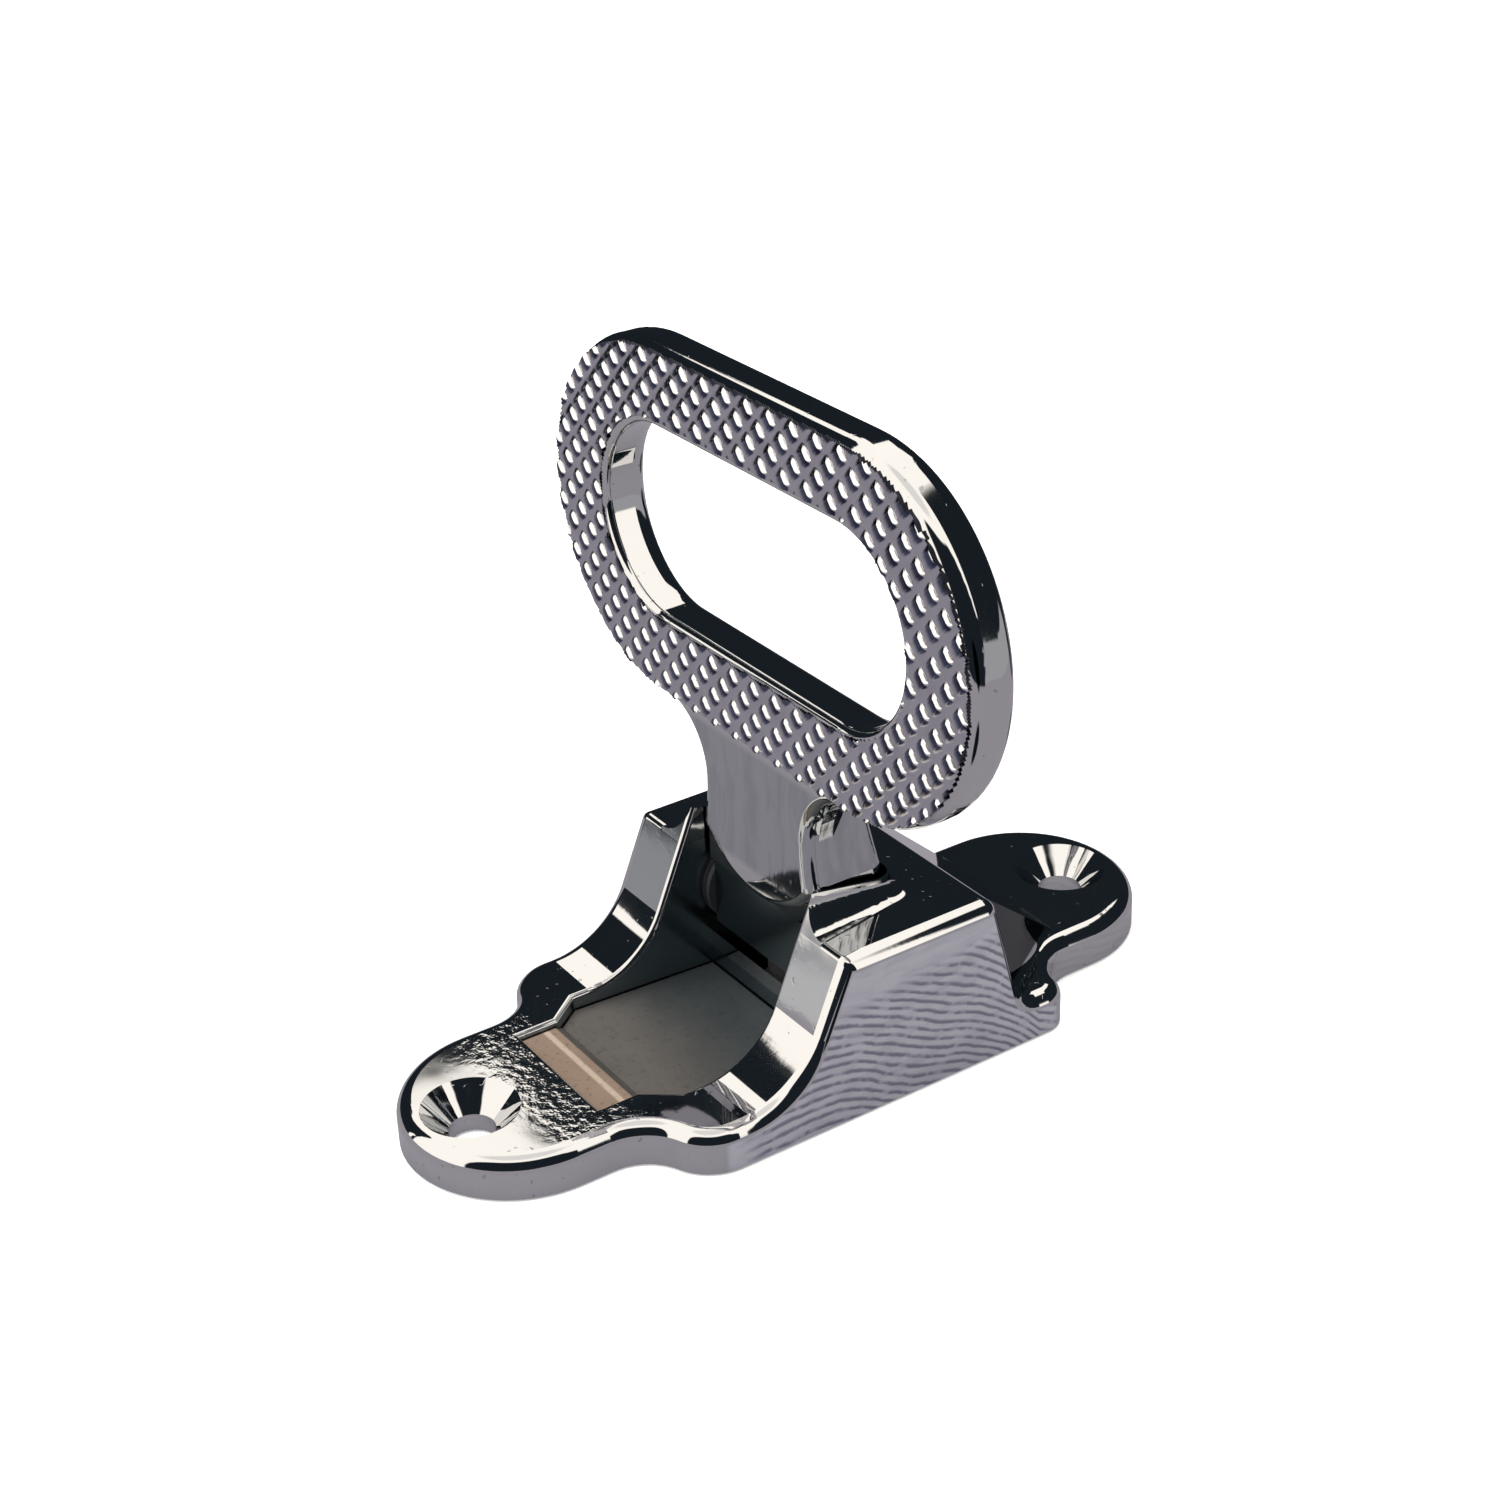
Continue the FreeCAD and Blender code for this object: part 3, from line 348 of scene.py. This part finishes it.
def painted_shade_step():
    """Plating painted near-black as shade in the step round the grip."""
    material, g, shader, place = new_material("painted_shade_step")
    cloud = g.noise(place.outputs["Object"], 1.5, 3.0)
    g.put(shader.inputs["Metallic"], 1.0)
    # painted shade: near-black plating colour
    g.put(shader.inputs["Base Color"], g.mix(cloud, (0.02, 0.022, 0.035, 1), (0.07, 0.075, 0.10, 1)))
    g.put(shader.inputs["Roughness"], g.math("MULTIPLY_ADD", cloud, 0.2, 0.2))
    g.put(shader.inputs["Normal"], g.bump(cloud, 0.01))
    return material


def zinc_plate():
    """Faintly spangled zinc, for the pin, the cover, the spring and the screws."""
    material, g, shader, place = new_material("zinc_steel")
    at = place.outputs["Object"]
    spangle = g.add("ShaderNodeTexVoronoi", Vector=at, Scale=700.0).outputs["Distance"]
    brushed = g.noise(g.add("ShaderNodeMapping", Vector=at, Scale=(0.06, 1.0, 1.0)).outputs[0], 0.3, 3.0)
    g.put(shader.inputs["Metallic"], 1.0)
    g.put(shader.inputs["Base Color"], g.mix(spangle, grey(0.42, -0.03), grey(0.56, -0.01)))
    g.put(shader.inputs["Roughness"], g.math("MULTIPLY_ADD", brushed, 0.22, 0.22))
    g.put(shader.inputs["Normal"], g.bump(brushed, 0.012))
    return material


def dull_bronze():
    """Bronze that has gone grey, with a brighter rubbed tab at the leaf's front end, a painted highlight
    stripe ahead of the step, and painted shade that turns it teal further back.
    """
    material, g, shader, place = new_material("dull_bronze")
    at = place.outputs["Object"]
    x = g.add("ShaderNodeSeparateXYZ", i0=at).outputs[0]
    cloud = g.noise(at, 4.0, 4.0, 0.6)
    specks = g.ramp(g.noise(at, 0.5, 2.0), 0.42, 0.30)
    behind = g.math("SUBTRACT", x, LEAF_STEP_X * MM)
    tab = g.fade(behind, (LEAF_STEP_SOFT, -LEAF_STEP_SOFT))
    # painted highlight: a bright stripe just ahead of the step
    highlight_stripe = g.band(behind, *(place_mm * MM for place_mm in LEAF_HIGHLIGHT_STRIPE))
    # painted shade: teal further back in the pocket
    depth = g.fade(behind, LEAF_SHADE)
    brown = g.mix(cloud, (0.10, 0.098, 0.095, 1), (0.16, 0.145, 0.13, 1))
    shaded_teal = g.mix(cloud, (0.055, 0.068, 0.075, 1), (0.095, 0.105, 0.11, 1))
    rubbed = g.mix(cloud, (0.24, 0.17, 0.13, 1), (0.35, 0.26, 0.20, 1))
    bed = g.mix(depth, brown, shaded_teal)
    leaf_tone_and_light = g.mix(tab, bed, g.mix(highlight_stripe, rubbed, (0.56, 0.45, 0.36, 1)))
    g.put(shader.inputs["Metallic"], 0.55)
    speckled = g.mix(g.math("MULTIPLY", specks, 0.35), leaf_tone_and_light, (0.05, 0.045, 0.04, 1))
    g.put(shader.inputs["Base Color"], speckled)
    g.put(shader.inputs["Roughness"], g.math("MULTIPLY_ADD", cloud, 0.2, 0.38))
    g.put(shader.inputs["Normal"], g.bump(g.noise(at, 0.6, 3.0, 0.6), 0.02))
    return material


def black_nylon():
    """Moulded nylon, for the washers and the friction pad."""
    material, g, shader, place = new_material("black_nylon")
    at = place.outputs["Object"]
    cloud = g.noise(at, 2.0, 3.0)
    g.put(shader.inputs["Base Color"], g.mix(cloud, (0.012, 0.012, 0.013, 1), (0.030, 0.030, 0.032, 1)))
    g.put(shader.inputs["Roughness"], g.math("MULTIPLY_ADD", cloud, 0.15, 0.42))
    g.put(shader.inputs["Normal"], g.bump(g.noise(at, 0.25, 2.0), 0.008))
    return material


def stadium_depth(y, z, half_width, half_height, centre_z):
    """Distance inside a stadium's outline; negative outside it."""
    reach = half_width - half_height
    return half_height - math.hypot(max(abs(y) - reach, 0.0), z - centre_z)


def grip_depth(y, z):
    """Distance inside the grip's outline, between the ring's rim and its opening."""
    outer = stadium_depth(y, z, RING_HALF_WIDTH, RING_HALF_HEIGHT, RING_CENTRE_Z) - GRIP_INSET_OUTER
    hole = -stadium_depth(y, z, OPENING_HALF_WIDTH, OPENING_HALF_HEIGHT, OPENING_CENTRE_Z)
    return min(outer, hole - GRIP_INSET_OPENING)


def stud_height(along, across):
    """Height over the groove's floor at a share of the step along the row, and across it."""
    flank = along / STUD_CREST if along < STUD_CREST else (1 - along) / (1 - STUD_CREST)
    wall = (min(across, 1 - across) - GROOVE_SHARE) / GROOVE_WALL
    return STUD_HEIGHT * flank * min(max(wall, 0.0), 1.0)


def knurled_grip():
    """The studs as one closed sheet, whose back is sunk in the ring's front face."""
    step_a, step_b = Vector(STUD_STEP_A), Vector(STUD_STEP_B)
    origin = Vector(STUD_ORIGIN)
    span = ROWS_EACH_WAY * STUD_CELLS
    known = {}

    def corner(i, j):
        bow = STUD_BOW * math.sin(2 * math.pi * (j / STUD_CELLS))
        place = origin + step_a * (i / STUD_CELLS + bow) + step_b * (j / STUD_CELLS)
        return place.x, place.y

    def depth(i, j):
        if (i, j) not in known:
            known[i, j] = grip_depth(*corner(i, j))
        return known[i, j]

    def rise(i, j):
        return stud_height((i / STUD_CELLS) % 1.0, (j / STUD_CELLS) % 1.0) + GROOVE_RISE

    index, points = {}, []

    def vertex(key, front):
        if (key, front) not in index:
            y, z = corner(*key)
            x = RING_FRONT_X - rise(*key) if front else GRIP_BACK_X
            index[key, front] = len(points)
            points.append((x * MM, y * MM, z * MM))
        return index[key, front]

    fronts, backs, edges = [], [], {}
    for i in range(-span, span):
        for j in range(-span, span):
            if abs(corner(i, j)[1] - RING_CENTRE_Z) > RING_HALF_HEIGHT:
                continue
            ring = [(i, j), (i + 1, j), (i + 1, j + 1), (i, j + 1)]
            if min(depth(*key) for key in ring) < 0:
                continue
            fronts.append([vertex(key, True) for key in ring])
            backs.append([vertex(key, False) for key in reversed(ring)])
            for a, b in zip(ring, ring[1:] + ring[:1]):
                if (b, a) in edges:
                    del edges[b, a]
                else:
                    edges[a, b] = True
    walls = [[vertex(b, True), vertex(a, True), vertex(a, False), vertex(b, False)] for a, b in edges]
    mesh = bpy.data.meshes.new("knurled_grip")
    mesh.from_pydata(points, [], fronts + backs + walls)
    for face in list(mesh.polygons)[len(fronts) + len(backs):]:
        face.material_index = WALL_SLOT
    flatten_back(mesh)
    mesh.shade_smooth()
    mesh.set_sharp_from_angle(angle=math.radians(30))
    piece = bpy.data.objects.new("knurled_grip", mesh)
    bpy.context.scene.collection.objects.link(piece)
    return piece


def flatten_back(mesh):
    """Merge the flat back's many small faces."""
    work = bmesh.new()
    work.from_mesh(mesh)

    def behind(vert):
        return abs(vert.co.x - GRIP_BACK_X * MM) < 1e-7

    verts = [vert for vert in work.verts if behind(vert)]
    edges = [edge for edge in work.edges if all(behind(vert) for vert in edge.verts)]
    bmesh.ops.dissolve_limit(work, angle_limit=math.radians(1), verts=verts, edges=edges)
    work.to_mesh(mesh)
    work.free()


def add_camera():
    az, el, roll = (math.radians(a) for a in (VIEW_AZIMUTH, VIEW_ELEVATION, VIEW_ROLL))
    back = Vector((math.sin(az) * math.cos(el), -math.cos(az) * math.cos(el), math.sin(el)))
    level = Vector((math.cos(az), math.sin(az), 0))
    rise = back.cross(level)
    right = level * math.cos(roll) + rise * math.sin(roll)
    up = rise * math.cos(roll) - level * math.sin(roll)
    data = bpy.data.cameras.new("camera")
    data.sensor_width = SENSOR_WIDTH
    data.lens = FOCAL_SHARE * SENSOR_WIDTH
    data.clip_start, data.clip_end = 0.01, 20
    camera = bpy.data.objects.new("camera", data)
    place = Matrix((right, up, back)).transposed().to_4x4()
    place.translation = (VIEW_TARGET + back * VIEW_DISTANCE) * MM
    camera.matrix_world = place
    bpy.context.scene.collection.objects.link(camera)
    bpy.context.scene.camera = camera


# Studio as the chrome sees it, by direction: azimuth from +Y towards +X, and elevation, in degrees.
# It is a bright tent with openings, most of them dark. Each opening has its centre's azimuth and
# elevation, half width and half height, how square it is, its softness, and the colour seen in it.
TENT = (1.40, 1.33, 1.23)
CEILING = (72, 4.0, (1.0, 0.96, 0.92))                  # from this elevation up
DARK = (0.012, 0.017, 0.022)
OPENINGS = [
    (-10, 5, 34.8, 44, 2.0, 0.015, DARK),               # back left
    (13.5, 44, 15, 7.3, 6.0, 0.03, TENT),
    (16, 10, 17, 24.9, 8.0, 0.010, DARK),               # straight behind
    (46, 9.5, 16, 25.7, 6.0, 0.010, DARK),
    (29.9, 33.2, 3.4, 4.0, 3.0, 0.10, DARK),
    (100, 8, 46, 48.5, 2.6, 0.015, DARK),               # right
    (-153, 5, 52, 52, 6.0, 0.03, DARK),                 # the room behind the camera
    (130, -10, 34, 11.5, 4.0, 0.10, (0.42, 0.42, 0.44)),
    (-44, -4.6, 8, 3.2, 4.0, 0.10, (0.33, 0.34, 0.36)),
    (-48.5, -4.6, 3.2, 2.9, 4.0, 0.10, (0.62, 0.61, 0.62)),
    (-39, 10, 2.0, 12, 4.0, 0.10, TENT),
]


def add_world():
    """Light that the chrome reflects, by direction, and a pale backdrop for the camera."""
    world = bpy.data.worlds.new("studio")
    bpy.context.scene.world = world
    world.use_nodes = True
    g = Graph(world.node_tree)
    way = g.add("ShaderNodeTexCoord").outputs["Generated"]
    ripple = g.add("ShaderNodeTexNoise", Vector=way, Scale=9.0, Detail=3.0).outputs[0]
    x, y, z = g.add("ShaderNodeSeparateXYZ", i0=way).outputs
    azimuth = g.math("MULTIPLY", g.math("ARCTAN2", x, y), 180 / math.pi)
    elevation = g.math("MULTIPLY", g.math("ARCSINE", z), 180 / math.pi)
    shift = g.math("MULTIPLY_ADD", ripple, 2.0, -1.0)

    start, soft, colour = CEILING
    light = g.mix(g.ramp(elevation, start - soft, start + soft), (*TENT, 1.0), (*colour, 1.0))
    for centre, height, half_width, half_height, square, soft, colour in OPENINGS:
        turned = g.math("WRAP", g.math("SUBTRACT", azimuth, centre), -180.0, 180.0)
        across = g.math("ABSOLUTE", g.math("DIVIDE", g.math("ADD", turned, shift), half_width))
        up = g.math("ABSOLUTE", g.math("DIVIDE", g.math("SUBTRACT", elevation, height), half_height))
        away = g.math("ADD", g.math("POWER", across, square), g.math("POWER", up, square))
        away = g.math("POWER", away, 1.0 / square)
        light = g.mix(g.ramp(away, 1 - soft, 1 + soft, 1.0, 0.0), light, (*colour, 1.0))
    studio = g.add("ShaderNodeBackground", Color=light, Strength=1.0)
    backdrop = g.add("ShaderNodeBackground", Color=(0.95, 0.95, 0.955, 1.0), Strength=1.0)
    to_camera = g.add("ShaderNodeLightPath").outputs["Is Camera Ray"]
    both = g.add("ShaderNodeMixShader", i0=to_camera, i1=studio.outputs[0], i2=backdrop.outputs[0])
    g.add("ShaderNodeOutputWorld", Surface=both.outputs[0])


FLOOR_SIZE, FLOOR_Z = 3.0, -0.0002                 # half width, and a hair below the object, in metres
FLOOR_IN_CHROME, GLOW_IN_CHROME = (0.100, 0.095, 0.106, 1), (0.196, 0.188, 0.208, 1)
TABLE_EDGE = (0.165, 0.180)    # metres from the object, where the chrome stops seeing the floor


def add_floor():
    """Plain pale floor, dimmer where the chrome reflects it than where the camera sees it."""
    corners = [(-1, -1), (1, -1), (1, 1), (-1, 1)]
    mesh = bpy.data.meshes.new("floor")
    mesh.from_pydata([(x * FLOOR_SIZE, y * FLOOR_SIZE, FLOOR_Z) for x, y in corners], [], [(0, 1, 2, 3)])
    floor = bpy.data.objects.new("floor", mesh)
    bpy.context.scene.collection.objects.link(floor)
    material = bpy.data.materials.new("pale_floor")
    material.use_nodes = True
    g = Graph(material.node_tree)
    to_camera = g.add("ShaderNodeLightPath").outputs["Is Camera Ray"]
    place = g.add("ShaderNodeTexCoord").outputs["Object"]
    cloud = g.add("ShaderNodeTexNoise", Vector=place, Scale=40.0, Detail=3.0).outputs[0]
    seen = g.mix(cloud, grey(0.93), grey(0.96))
    paper = g.add("ShaderNodeBsdfDiffuse", Color=g.mix(to_camera, FLOOR_IN_CHROME, seen))
    glow = g.add("ShaderNodeEmission", Color=g.mix(to_camera, GLOW_IN_CHROME, grey(0.30)), Strength=1.0)
    both = g.add("ShaderNodeAddShader", i0=paper.outputs[0], i1=glow.outputs[0])
    away = g.add("ShaderNodeVectorMath", {"operation": "LENGTH"}, i0=place).outputs["Value"]
    off_table = g.math("MULTIPLY", g.ramp(away, *TABLE_EDGE), g.math("SUBTRACT", 1.0, to_camera))
    clear = g.add("ShaderNodeBsdfTransparent")
    table = g.add("ShaderNodeMixShader", i0=off_table, i1=both.outputs[0], i2=clear.outputs[0])
    g.add("ShaderNodeOutputMaterial", Surface=table.outputs[0])
    mesh.materials.append(material)


# Name, place, aim, size in metres, and watts
LAMPS = [
    ("overhead", (0.0, 0.1, 0.9), (0, 0, 0), 0.9, 9.0),
    ("left", (-0.7, -0.1, 0.5), (0, 0, 0.02), 0.5, 3.0),
]


def add_lights():
    """Soft light for the floor and the dull pieces; the chrome doesn't see the lamps."""
    for name, place, aim, size, power in LAMPS:
        data = bpy.data.lights.new(name, "AREA")
        data.shape, data.size, data.energy = "SQUARE", size, power
        lamp = bpy.data.objects.new(name, data)
        lamp.location = place
        lamp.rotation_euler = (Vector(aim) - Vector(place)).to_track_quat("-Z", "Y").to_euler()
        lamp.visible_glossy = False
        lamp.visible_camera = False
        bpy.context.scene.collection.objects.link(lamp)


def finish_node(name, material):
    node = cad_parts[name]
    node.data.materials.clear()
    node.data.materials.append(material)


add_camera()
add_world()
add_floor()
add_lights()
bpy.context.scene.view_settings.view_transform = "Standard"

steel, bronze, nylon = zinc_plate(), dull_bronze(), black_nylon()
housing_chrome = chrome("housing_chrome", housing_zones, (0.12, 1.0, 1.0), 0.16, 1.0, 0.9, 0.012)
lever_chrome = chrome("lever_chrome", lever_zones, (1.0, 1.0, 0.10), 0.06, 0.56, 0.0, 0.003)
FINISHES = [
    (housing_chrome, "chrome_plate", ["housing_casting", "pin_bore_cap"]),
    (lever_chrome, "chrome_plate", ["ring_lever"]),
    (steel, "steel", ["pivot_pin", "pin_grub_screw", "pressure_spring", "base_cover"]),
    (steel, "steel", ["cover_screw_%d" % number for number in (1, 2, 3, 4)]),
    (bronze, "bronze", ["near_bush", "far_bush", "pocket_leaf"]),
    (nylon, "nylon", ["near_thrust_washer", "far_thrust_washer", "friction_pad"]),
]
for node_material, node_slot, node_names in FINISHES:
    for node_name in node_names:
        finish_node(node_name, node_material)

grip = knurled_grip()
grip.data.materials.append(knurl_chrome())
grip.data.materials.append(painted_shade_step())
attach(grip, "lever")
